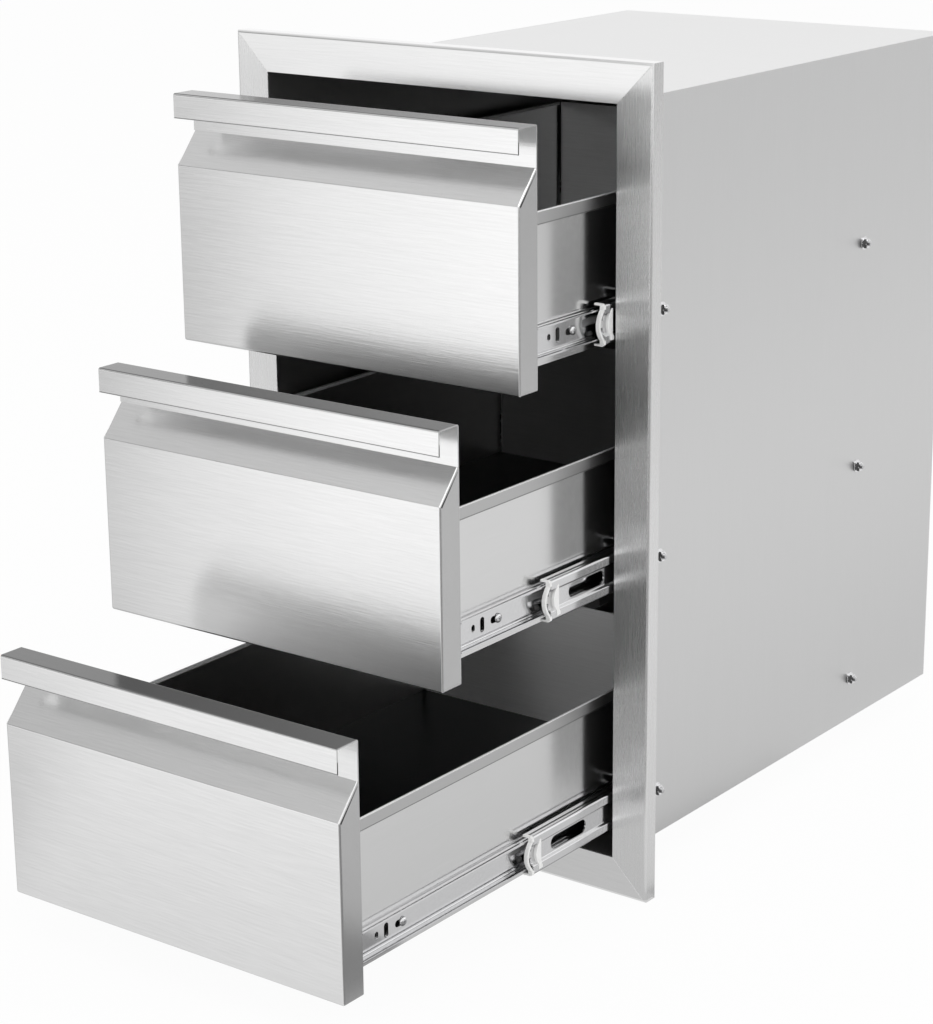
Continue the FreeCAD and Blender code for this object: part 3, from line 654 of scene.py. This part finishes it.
# Fronts: painted shade makes the handle's top, the ends and the middle front's web back darker;
# the ends are also duller, and the backs of the lip and the web rougher
front_steels = {}
for drawer, lip_back, web_back in (
    ("bottom", (BRIGHT, FRONT_ROUGHNESS), DULL_BACK),
    ("middle", DULL_BACK, BACK_SHADE),
    ("top", DULL_BACK, DULL_BACK),
):
    behind_lip = min(corner[1] for corner in nodes[f"{drawer}_drawer_front"].bound_box) + BEHIND_LIP
    front_steels[drawer] = steel(
        f"{drawer}_front_steel", BRIGHT, FRONT_ROUGHNESS, "X", grain=0.045, relief=0.2, gloss_spread=0.8,
        looks=(
            (UP, *HANDLE_TOP_SHADE), (LEFT, *END_SHADE), (RIGHT, *END_SHADE),
            (BACK, *lip_back), (BACK, *web_back, behind_lip),
        ),
    )

# Trim and cabinet, whose inside is duller and painted darker as painted shade
trim_across = steel("trim_steel_across", BRIGHT, 0.15, "X", relief=0.01)
trim_head = steel("trim_steel_head", BRIGHT, 0.15, "X", relief=0.01, lean=0.045)
trim_upright = steel("trim_steel_upright", BRIGHT, 0.27, "Z", grain=0.04, relief=0.01, gloss_spread=1.0)
cabinet_steels = {}
for node, name, colour, brush, inwards in (
    ("cabinet_left_side", "left", SATIN, "Z", RIGHT),
    ("cabinet_right_side", "right", SATIN, "Z", LEFT),
    ("cabinet_top", "top", grey(0.90), "X", DOWN),
    ("cabinet_bottom", "bottom", STEEL, "X", UP),
    ("cabinet_back", "back", STEEL, "X", FRONT),
):
    inside = (inwards, *CABINET_INSIDE_SHADE)
    cabinet_steels[node] = steel(f"cabinet_{name}_steel", colour, 0.36, brush, grain=0.012, looks=(inside,))

# Drawer boxes
side_steel = steel("box_wall_steel", SATIN, 0.16, "Y", grain=0.015)
hem_steel = steel("box_hem_steel", grey(0.58), 0.36, "Y", grain=0.02)
# Painted highlight: a brighter, rougher steel for the tops of the walls' folds and the back panels' beads
rim_highlight_steel = steel("box_rim_highlight", BRIGHT, 0.65, "Y", grain=0.02)
# Painted shadow: a dark steel for the lower edges of the hems and of the lips
edge_shadow_steel = steel("painted_edge_shadow", grey(0.3), 0.4, "X", grain=0.05)
# Painted shade and painted highlight: matte grey bands along the walls' rims
rim_shade_paint = plastic("box_rim_painted_shade", grey(0.5), 0.5)
rim_highlight_paint = plastic("box_rim_painted_highlight", grey(0.95), 0.5)
# Painted shade: the walls' inner faces are darker and rougher in the lower two drawers
inside_shading_steels = {
    drawer: steel(f"{drawer}_inside_painted_shading", grey(shade), gloss, "Y", grain=0.015)
    for drawer, shade, gloss in zip(DRAWERS, (0.5, 0.5, 0.76), (0.3, 0.3, 0.16))
}
# Painted shade: the middle drawer's front and back panels are darker than the others'
panel_shading_steels = {
    drawer: steel(f"{drawer}_panel_painted_shading", grey(shade), 0.38, "X", grain=0.05, relief=0.1, gloss_spread=1.0)
    for drawer, shade in zip(DRAWERS, (0.95, 0.42, 0.95))
}
# Painted shade: the floors' upper faces are near black in the lower two drawers; the top drawer's is painted
# lighter so that its back panel reflects light
floor_shading_steels = {
    drawer: steel(f"{drawer}_floor_painted_shading", SATIN, 0.3, "Y", looks=((UP, grey(shade), 0.3),))
    for drawer, shade in zip(DRAWERS, (0.05, 0.05, 0.4))
}

# Runners and fasteners; the rails, screws, washers, nuts and bolts have painted shade on faces that look
# away from the lit side
rail_zinc = zinc("rail_steel", PLATED, 0.13, ((0.3, 0.35), (0.47, 0.8), (0.53, 0.8), (0.65, 1.0)))
cage_zinc = zinc("cage_steel", (0.60, 0.61, 0.62), 0.3)
ball_zinc = zinc("ball_steel", (0.80, 0.80, 0.81), 0.1)
fastener_zinc = zinc("fastener_steel", PLATED, 0.14, ((0.3, 0.1), (0.47, 0.8), (0.53, 0.8), (0.65, 1.0)))
nut_zinc = zinc("nut_steel", PLATED, 0.12, ((0.1, 0.1), (0.17, 1.0)), BACK)
bolt_zinc = zinc("bolt_steel", PLATED, 0.12, ((0.12, 0.06), (0.3, 0.7), (0.53, 0.7), (0.65, 1.0)), BACK)
slit_shade = plastic("slit_shade", grey(0.03), 0.7)
clip_plastic = plastic("clip_plastic", (0.97, 0.97, 0.96), 0.35)


def paint_solids():
    """Give the CAD nodes their materials and ease the edges of their sheets."""
    for node, material in cabinet_steels.items():
        paint(node, material)
    paint("trim_left", trim_upright)
    paint("trim_right", trim_upright)
    paint("trim_top", trim_head)
    paint("trim_bottom", trim_across)
    paint("cabinet_rails", rail_zinc)
    for drawer in DRAWERS:
        paint(f"{drawer}_drawer_front", front_steels[drawer])
        paint(f"{drawer}_box_front", panel_shading_steels[drawer])
        paint(f"{drawer}_box_bottom", floor_shading_steels[drawer])
        paint(f"{drawer}_front_screws", fastener_zinc)
        for stage in ("outer", "inner"):
            paint(f"{drawer}_{stage}_cages", cage_zinc)
            paint(f"{drawer}_{stage}_balls", ball_zinc)
    for name, item in nodes.items():
        if not name.endswith(("balls", "cages", "screws", "bolts", "_side")):
            ease_edges(item, CAD_EASE)


def groove(depth, half, bend):
    """Corners of a ball groove in a flange, as (depth, rise, bend radius)."""
    return [
        (depth - GROOVE_HALF, half, bend), (depth, half - GROOVE_DEPTH, GROOVE_BEND),
        (depth + GROOVE_HALF, half, bend),
    ]


def channel(node, upper, thickness):
    """Right rail over a CAD node's length, from the upper half of its path in (depth, rise, bend radius)."""
    low, high = span(node)
    axis = (low.z + high.z) / 2
    lower = [(depth, -rise, bend) for depth, rise, bend in upper[::-1]]
    outline = strip_outline(bent_path(upper + lower), thickness)
    form = bmesh.new()
    prism(form, [(WALL - depth, axis + rise) for depth, rise in outline], low.y, high.y, "Y")
    return form


def middle_rails(drawer):
    """Middle rails: flanges with a ball groove, two bands and a sunk web with oblong slots."""
    node = f"{drawer}_intermediate_rails"
    front, axis, half = rail_place(node)
    upper = [
        (MIDDLE_FLANGE, half, 0), *groove(MIDDLE_GROOVE, half, GROOVE_BEND)[::-1],
        (BAND_DEPTH, half, BAND_BEND), (BAND_DEPTH, BAND_FOOT, SUNK_BEND), (SUNK_DEPTH, SUNK_TOP, SUNK_BEND),
    ]
    tools = bmesh.new()
    for index in range(SLOT_COUNT):
        start = front - CLIP_NOSE + SLOT_START + SLOT_STEP * index
        prism(tools, slot_outline(start, start + SLOT_LENGTH, axis, SLOT_RADIUS), *MIDDLE_CUT, "X")
    form = drilled(channel(node, upper, SHEET), tools)
    both_sides(form)
    name = f"{drawer}_middle_rails"
    finished(name, form, rail_zinc, f"{drawer}_runners", [node], SHEET_EASE)


def inner_rails(drawer):
    """Inner rails: channels with a ball groove in each flange, a hole, an upright slot and screw slots."""
    node = f"{drawer}_drawer_rails"
    half = rail_place(node)[2]
    upper = [
        (INNER_FLANGE, half, 0), *groove(INNER_GROOVE, half, INNER_GROOVE_BEND),
        (INNER_WEB, half, INNER_BEND),
    ]
    form = drilled(channel(node, upper, -SHEET), rail_openings(drawer, INNER_CUT, RAIL_SCREWS))
    both_sides(form)
    finished(f"{drawer}_inner_rails", form, rail_zinc, f"{drawer}_drawer", [node], SHEET_EASE)


def rail_openings(drawer, cut, screws):
    """Cutting forms for the openings of an inner rail and some of its screws, between two places along X."""
    front, axis, _ = rail_place(f"{drawer}_drawer_rails")
    tools = bmesh.new()
    for place, half, radius in ((HOLE_PLACE, HOLE_HALF, HOLE_RADIUS), (KEY_PLACE, KEY_HALF, KEY_RADIUS)):
        middle = front + place
        prism(tools, slot_outline(middle - half, middle + half, axis, radius, upright=True), *cut, "X")
    for place in screws:
        screw = front + place
        prism(tools, slot_outline(screw - SCREW_SLOT, screw, axis, SCREW_SLOT_RADIUS), *cut, "X")
    return tools


def rail_screws(drawer):
    """Pan-headed screws with a cross recess that hold the inner rails."""
    front, axis, _ = rail_place(f"{drawer}_drawer_rails")
    profile = [(SCREW_SEAT + along, radius) for along, radius in PAN_SCREW]
    form = bmesh.new()
    tools = bmesh.new()
    for place in RAIL_SCREWS:
        y = front + place
        turned(form, profile, y, axis, sides=SMALL_SIDES)
        prism(tools, cross_outline(y, axis), SCREW_SEAT + CROSS_FLOOR, SCREW_SEAT + CROSS_TOP, "X")
    form = drilled(form, tools)
    both_sides(form)
    replaced = [f"{drawer}_runner_screws"]
    finished(f"{drawer}_rail_screws", form, fastener_zinc, f"{drawer}_drawer", replaced)


def clips(drawer):
    """Plastic clips: a bowed nose that caps the rail's end, a narrow tongue and a bowed rib with a foot."""
    front, axis, half = rail_place(f"{drawer}_intermediate_rails")
    start = front - CLIP_NOSE
    form = bmesh.new()

    def slab(outline, depths):
        """Add a prism between two depths."""
        prism(form, outline, WALL - depths[0], WALL - depths[1], "X")

    nose = [Vector(point) for point in bow(start, NOSE_BOW, NOSE_HALF, axis)]
    slab(strip_outline(nose, NOSE_SHEET), NOSE_DEPTHS)
    ear = (
        (EAR_FRONT, EAR_FOOT), (CAP_FRONT, half - EAR_FRONT_DROP), (CAP_BACK, half - EAR_BACK_DROP),
        (CAP_BACK, EAR_FOOT),
    )
    for sign in (1, -1):
        cap = [(WALL - depth, axis + sign * (half + rise)) for depth, rise in CAP]
        prism(form, cap, start + CAP_FRONT, start + CAP_BACK, "Y")
        slab([(start + along, axis + sign * rise) for along, rise in ear], EAR_DEPTHS)
    slab([(start + along, axis + rise) for along, rise in TONGUE], TONGUE_DEPTHS)
    rib = bow(start + RIB_PLACE, RIB_BOW, RIB_HALF, axis)
    rib += [(start + RIB_BACK, axis - RIB_HALF), (start + RIB_BACK, axis + RIB_HALF)]
    slab(rib, RIB_DEPTHS)
    slab([(start + along, axis + rise) for along, rise in FOOT], FOOT_DEPTHS)
    both_sides(form)
    replaced = [f"{drawer}_runner_clips"]
    finished(f"{drawer}_clips", form, clip_plastic, f"{drawer}_runners", replaced, CLIP_EASE)


def box_back(drawer):
    """Back panel of a drawer box, a narrow slit beside each side wall and a bead along it with painted
    highlight.
    """
    node = f"{drawer}_box_back"
    low, high = span(node)
    left, right = low.x + BACK_SLIT, high.x - BACK_SLIT
    form = bmesh.new()
    prism(form, [(left, low.z), (right, low.z), (right, high.z), (left, high.z)], low.y, high.y, "Y")
    for edge in (left, right - BEAD_WIDTH):
        bead = [(edge, low.z), (edge + BEAD_WIDTH, low.z), (edge + BEAD_WIDTH, high.z), (edge, high.z)]
        prism(form, bead, low.y - BEAD_HEIGHT, low.y, "Y")
    for face in form.faces:
        if face.calc_center_median().y < low.y - BEAD_HEIGHT / 3:
            face.material_index = 1
    name = f"{drawer}_back_panel"
    panel = finished(name, form, panel_shading_steels[drawer], f"{drawer}_drawer", [node], PANEL_EASE)
    panel.data.materials.append(rim_highlight_steel)


def box_sides(drawer):
    """Side walls of a drawer box, folded over into a hem, with openings behind those of the rails."""
    low, high = span(f"{drawer}_box_right")
    face = high.x - SHEET
    inner = face - SHEET
    corners = [
        (inner, low.z, 0), (inner, high.z - RIM_BAND, 0),
        (inner, high.z, HEM_BEND), (high.x, high.z, HEM_BEND),
        (high.x - HEM_EDGE_LEAN, high.z - HEM_EDGE, 0), (high.x - HEM_FOOT_LEAN, high.z - HEM_FOOT, 0),
    ]
    form = bmesh.new()
    prism(form, strip_outline(bent_path(corners), -WALL_SHEET), low.y, high.y, "Y")
    cut = (face - 3 * SHEET, face + SHEET / 2)
    form = drilled(form, rail_openings(drawer, cut, RAIL_SCREWS[:1]))
    both_sides(form)
    form.normal_update()
    # Faces by where they look: painted highlight on the fold's top, painted grey shade on the left walls'
    # flat top, a painted shadow line on the hem's lower edge, a painted highlight band atop the inner faces
    # and the drawer's inside steel below it
    for fold in form.faces:
        middle = fold.calc_center_median()
        drop = high.z - middle.z
        if fold.normal.z > RIM_SLOPE and drop < RIM_REACH:
            fold.material_index = RIM_SHADE_BAND if middle.x < 0 and fold.normal.z > RIM_FLAT else RIM
        elif abs(middle.x) > face + FACE_SPARE and drop < HEM_FOOT + HEM_SPARE:
            fold.material_index = HEM if drop < HEM_EDGE else EDGE
        elif fold.normal.x * middle.x < 0:
            fold.material_index = RIM_HIGHLIGHT_BAND if drop < RIM_BAND else INSIDE
    replaced = [f"{drawer}_box_left", f"{drawer}_box_right"]
    name = f"{drawer}_box_sides"
    walls = finished(name, form, side_steel, f"{drawer}_drawer", replaced, SHEET_EASE)
    for material in (hem_steel, rim_highlight_steel, edge_shadow_steel, inside_shading_steels[drawer], rim_shade_paint, rim_highlight_paint):
        walls.data.materials.append(material)


def front_seam_shades(drawer):
    """Painted shade of the open seams of a folded front: dark wedges beside the bevel's ends, and short ones
    in the lip's ends.
    """
    low, high = span(f"{drawer}_drawer_front")
    bevel_top = high.z - WEB_HEIGHT
    foot = Vector((low.y + SEAM_FOOT_BACK, bevel_top - BEVEL_HEIGHT - SEAM_FOOT_DROP))
    head = Vector((low.y + SEAM_HEAD_BACK, bevel_top - SEAM_HEAD_DROP))
    along = (head - foot).normalized()
    across = Vector((along.y, -along.x))
    wedge = [foot - across * SEAM_HALF, foot + across * SEAM_HALF]
    wedge += [head - across * edge for edge in SEAM_HEAD_EDGES]
    slit = [(low.y + back, high.z - LIP_HEIGHT + rise) for back, rise in LIP_SLIT]
    form = bmesh.new()
    for outline in (wedge, slit):
        prism(form, outline, high.x - SEAM_SINK, high.x + SEAM_PROUD, "X")
    both_sides(form)
    finished(f"{drawer}_front_seam_shades", form, slit_shade, f"{drawer}_drawer")


def lip_shadow_edge(drawer):
    """Cut lower edge of the lip, slightly thicker than the sheet, painted dark as a shadow line."""
    low, high = span(f"{drawer}_drawer_front")
    form = bmesh.new()
    outline = [(low.y + back, high.z - LIP_HEIGHT + rise) for back, rise in LIP_EDGE]
    prism(form, outline, low.x, high.x, "X")
    finished(f"{drawer}_lip_shadow_edge", form, edge_shadow_steel, f"{drawer}_drawer")


def wall_fasteners():
    """Bolts, washers and nuts that hold the outer rails to the cabinet's sides."""
    low, high = span("runner_washers")
    panel = WALL + SHEET
    seat = panel + WASHER_HEIGHT
    top = seat + NUT_HEIGHT
    washer = [(panel + along, radius) for along, radius in WASHER]
    nut = [(seat + along, radius) for along, radius in NUT]
    bolt = [(WALL - SHEET + along, radius) for along, radius in BOLT_HEAD]
    bolt.append((top - THREAD_PITCH, THREAD_RADIUS))
    for turn in range(THREAD_TURNS):
        crest = top + THREAD_PITCH * turn
        bolt += [(crest - THREAD_PITCH / 2, THREAD_ROOT), (crest, THREAD_RADIUS)]
    bolt += [(top + along, radius) for along, radius in BOLT_TAIL]
    bolts, washers, nuts = bmesh.new(), bmesh.new(), bmesh.new()
    for drawer in DRAWERS:
        axis = rail_place(f"{drawer}_intermediate_rails")[1]
        for y in (low.y + WASHER_RADIUS, high.y - WASHER_RADIUS):
            turned(washers, washer, y, axis)
            turned(nuts, nut, y, axis, flats=NUT_FLATS)
            turned(bolts, bolt, y, axis, sides=SMALL_SIDES)
    for name, form, material in (
        ("bolts", bolts, bolt_zinc), ("washers", washers, nut_zinc), ("nuts", nuts, nut_zinc),
    ):
        both_sides(form)
        finished(f"wall_{name}", form, material, "cabinet", [f"runner_{name}"])


def floor_paper():
    """White paper that keeps the object's soft shadow and shows reflections painted light and shade."""
    material, tree = new_tree("floor_paper")
    where = add(tree, "ShaderNodeTexCoord").outputs["Object"]
    pale = speckled(tree, noise(tree, where, FIBRE), grey(1.0), *PAPER_GREYS)
    matte = add(tree, "ShaderNodeBsdfDiffuse", {"Color": pale}).outputs["BSDF"]
    parts = axes(tree, where)
    sideways = math_node(tree, "DIVIDE", parts["X"], parts["Y"])
    distance = math_node(tree, "MULTIPLY", parts["Y"], DISTANCE_SCALE)
    turn_fall = ramp(tree, sideways, FLOOR_TURN_FALL)
    near_fall = ramp(tree, distance, FLOOR_NEAR_FALL)
    fall = math_node(tree, "MULTIPLY", math_node(tree, "MULTIPLY", turn_fall, near_fall), FLOOR_GAIN)
    for losses, weights in ((FAR_LEFT_LOSS, FAR_WEIGHT), (NEAR_LEFT_LOSS, NEAR_WEIGHT)):
        loss = math_node(tree, "MULTIPLY", ramp(tree, sideways, losses), ramp(tree, distance, weights))
        fall = math_node(tree, "MULTIPLY", fall, math_node(tree, "SUBTRACT", 1.0, loss))
    path = add(tree, "ShaderNodeLightPath").outputs
    glow = blend(tree, path["Is Glossy Ray"], WHITE, fall)
    white = add(tree, "ShaderNodeEmission", {"Color": glow, "Strength": 1.0}).outputs["Emission"]
    shadowed = add(tree, "ShaderNodeMixShader", {"Fac": FLOOR_GLOW, 1: matte, 2: white}).outputs["Shader"]
    seen = math_node(tree, "MAXIMUM", path["Is Camera Ray"], path["Is Glossy Ray"])
    seen = math_node(tree, "MAXIMUM", seen, path["Is Transmission Ray"])
    shader = add(tree, "ShaderNodeMixShader", {"Fac": seen, 1: matte, 2: shadowed}).outputs["Shader"]
    add(tree, "ShaderNodeOutputMaterial", {"Surface": shader})
    return material


def stage_floor():
    """A wide pale floor."""
    mesh = bpy.data.meshes.new("floor")
    outline = (
        (FLOOR_LEFT, FLOOR_FRONT), (FLOOR_REACH, FLOOR_FRONT), (FLOOR_REACH, FLOOR_REACH),
        (-FLOOR_REACH, FLOOR_REACH), (-FLOOR_REACH, FLOOR_LEFT_BACK), (FLOOR_LEFT, FLOOR_LEFT_BEND),
    )
    mesh.from_pydata([(x, y, FLOOR_HEIGHT) for x, y in outline], [], [tuple(range(len(outline)))])
    mesh.materials.append(floor_paper())
    floor = bpy.data.objects.new("floor", mesh)
    scene.collection.objects.link(floor)


def studio_world():
    """Studio surroundings: white below and round the horizon, greyer above it and most of all in front."""
    world = bpy.data.worlds.new("studio")
    scene.world = world
    world.use_nodes = True
    tree = world.node_tree
    tree.nodes.clear()
    parts = axes(tree, add(tree, "ShaderNodeTexCoord").outputs["Generated"])
    height = math_node(tree, "MULTIPLY_ADD", parts["Z"], 0.5, 0.5)
    sideways = math_node(tree, "DIVIDE", parts["X"], parts["Y"])
    front = blend(tree, ramp(tree, sideways, SKY_LIGHT_SHARE), ramp(tree, height, SKY_FRONT), SKY_LIGHT)
    seam = {"Value": parts["Y"], "From Min": -SKY_SEAM, "From Max": SKY_SEAM}
    behind = add(tree, "ShaderNodeMapRange", seam, interpolation_type="SMOOTHSTEP").outputs["Result"]
    sky = blend(tree, behind, front, ramp(tree, height, SKY_BACK))
    path = add(tree, "ShaderNodeLightPath").outputs
    colour = blend(tree, path["Is Camera Ray"], sky, WHITE)
    light = add(tree, "ShaderNodeBackground", {"Color": colour, "Strength": 1.0})
    add(tree, "ShaderNodeOutputWorld", {"Surface": light.outputs["Background"]})


def card(name, left, right, front, back, greys):
    """A reflector on the floor that only reflections show, with (place, grey) stops along X."""
    mesh = bpy.data.meshes.new(name)
    corners = ((left, front), (right, front), (right, back), (left, back))
    mesh.from_pydata([(x, y, CARD_HEIGHT) for x, y in corners], [], [(0, 1, 2, 3)])
    item = bpy.data.objects.new(name, mesh)
    scene.collection.objects.link(item)
    material, tree = new_tree(name)
    across = axes(tree, add(tree, "ShaderNodeTexCoord").outputs["Generated"])["X"]
    glow = add(tree, "ShaderNodeEmission", {"Color": ramp(tree, across, greys)}).outputs["Emission"]
    add(tree, "ShaderNodeOutputMaterial", {"Surface": glow})
    mesh.materials.append(material)
    item.visible_camera = False
    item.visible_diffuse = False
    item.visible_transmission = False
    item.visible_shadow = False


def overhead_lamp():
    """A square softbox above the unit."""
    data = bpy.data.lights.new("overhead", "AREA")
    data.shape = "SQUARE"
    data.size = LAMP_SIZE
    data.energy = LAMP_POWER
    lamp = bpy.data.objects.new("overhead", data)
    lamp.location = LAMP_PLACE
    lamp.rotation_euler = (LAMP_TARGET - LAMP_PLACE).to_track_quat("-Z", "Y").to_euler()
    scene.collection.objects.link(lamp)


def photo_camera():
    """Camera at the photograph's viewing angle."""
    level = Vector((-math.sin(VIEW_AZIMUTH), math.cos(VIEW_AZIMUTH), 0))
    ahead = level * math.cos(VIEW_ELEVATION) - Vector(UP) * math.sin(VIEW_ELEVATION)
    across = Vector((math.cos(VIEW_AZIMUTH), math.sin(VIEW_AZIMUTH), 0))
    up = across.cross(ahead)
    right = across * math.cos(VIEW_ROLL) + up * math.sin(VIEW_ROLL)
    top = up * math.cos(VIEW_ROLL) - across * math.sin(VIEW_ROLL)
    data = bpy.data.cameras.new("camera")
    data.sensor_width = SENSOR
    data.lens = FOCAL_PIXELS / IMAGE_HEIGHT * SENSOR
    camera = bpy.data.objects.new("camera", data)
    turn = Matrix((right, top, -ahead)).transposed()
    camera.matrix_world = Matrix.Translation(VIEW_PLACE) @ turn.to_4x4()
    scene.collection.objects.link(camera)
    scene.camera = camera


paint_solids()
for drawer in DRAWERS:
    middle_rails(drawer)
    inner_rails(drawer)
    rail_screws(drawer)
    clips(drawer)
    box_sides(drawer)
    box_back(drawer)
    front_seam_shades(drawer)
    lip_shadow_edge(drawer)
wall_fasteners()

stage_floor()
studio_world()
card("side_card", CARD_INNER, CARD_OUTER, CARD_SPLIT, CARD_BACK, SIDE_GREYS)
card("camera_side_card", CARD_INNER, CARD_OUTER, CARD_FRONT, CARD_SPLIT, CAMERA_SIDE_GREYS)
card("under_shadow_card", UNDER_LEFT, CARD_INNER, UNDER_FRONT, UNDER_BACK, UNDER_SHADOW_GREYS)
overhead_lamp()
photo_camera()
scene.view_settings.view_transform = "Standard"
